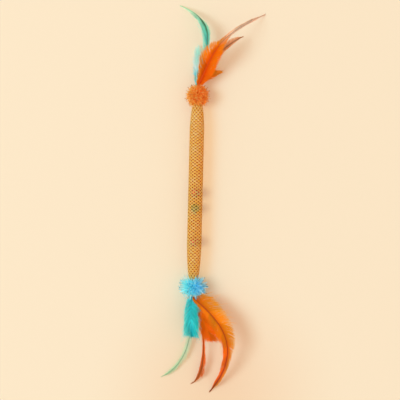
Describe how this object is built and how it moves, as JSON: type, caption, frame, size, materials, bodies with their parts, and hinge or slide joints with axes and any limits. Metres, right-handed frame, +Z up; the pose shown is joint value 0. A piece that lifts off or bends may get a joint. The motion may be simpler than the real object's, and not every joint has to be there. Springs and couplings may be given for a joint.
{
  "type": "cat teaser toy",
  "caption": "Soft cat teaser: a see-through mesh sleeve with sliding jingle bells, a tinsel pompom and a spray of feathers at each end, for batting, kicking and dangling",
  "frame": {"origin": "on the surface the toy lies on, under the middle of the whole toy's box", "axes": "+Y along the sleeve from the blue pompom to the orange pompom, +Z up from the surface, +X across to the side the orange feathers lean to"},
  "size_m": [0.1043, 0.4271, 0.0354],
  "materials": {
    "mesh": "satin",
    "thread": "matte",
    "glue": "satin",
    "tinsel_orange": "gloss",
    "tinsel_blue": "gloss",
    "red_bell": "gloss",
    "olive_bell": "gloss",
    "steel": "satin",
    "turquoise_feather": "matte",
    "orange_feather": "matte"
  },
  "bodies": {
    "toy": {"mesh_sleeve": "mesh", "neck_tie_orange": "thread", "neck_tie_blue": "thread", "glue_plug_orange": "glue", "glue_plug_blue": "glue", "tinsel_orange": "tinsel_orange", "tinsel_blue": "tinsel_blue", "strip_tie_orange": "thread", "strip_tie_blue": "thread", "feather_orange_end_hackle": "turquoise_feather", "feather_orange_end_down": "turquoise_feather", "feather_orange_end_long": "orange_feather", "feather_orange_end_middle": "orange_feather", "feather_orange_end_tuft": "orange_feather", "feather_blue_end_down": "turquoise_feather", "feather_blue_end_hackle": "turquoise_feather", "feather_blue_end_slim": "orange_feather", "feather_blue_end_long": "orange_feather", "feather_blue_end_wide": "orange_feather"},
    "bell_1": {"bell_1_shell": "red_bell", "bell_1_loop": "red_bell"},
    "pellet_1": {"bell_1_pellet": "steel"},
    "bell_2": {"bell_2_shell": "olive_bell", "bell_2_loop": "olive_bell"},
    "pellet_2": {"bell_2_pellet": "steel"},
    "bell_3": {"bell_3_shell": "red_bell", "bell_3_loop": "red_bell"},
    "pellet_3": {"bell_3_pellet": "steel"}
  },
  "joints": [
    {"name": "bell_1_slide", "type": "slide", "parent": "toy", "child": "bell_1", "axis": [0, 1, 0], "range_m": [-0.0032, 0.074]},
    {"name": "pellet_1_rattle", "type": "slide", "parent": "bell_1", "child": "pellet_1", "axis": [0, 0, 1], "range_m": [0, 0.0069]},
    {"name": "bell_2_slide", "type": "slide", "parent": "toy", "child": "bell_2", "axis": [0, 1, 0], "range_m": [-0.0108, 0.0032]},
    {"name": "pellet_2_rattle", "type": "slide", "parent": "bell_2", "child": "pellet_2", "axis": [0, 0, 1], "range_m": [0, 0.0054]},
    {"name": "bell_3_slide", "type": "slide", "parent": "toy", "child": "bell_3", "axis": [0, 1, 0], "range_m": [-0.011, 0.0108]},
    {"name": "pellet_3_rattle", "type": "slide", "parent": "bell_3", "child": "pellet_3", "axis": [0, 0, 1], "range_m": [0, 0.0069]}
  ]
}
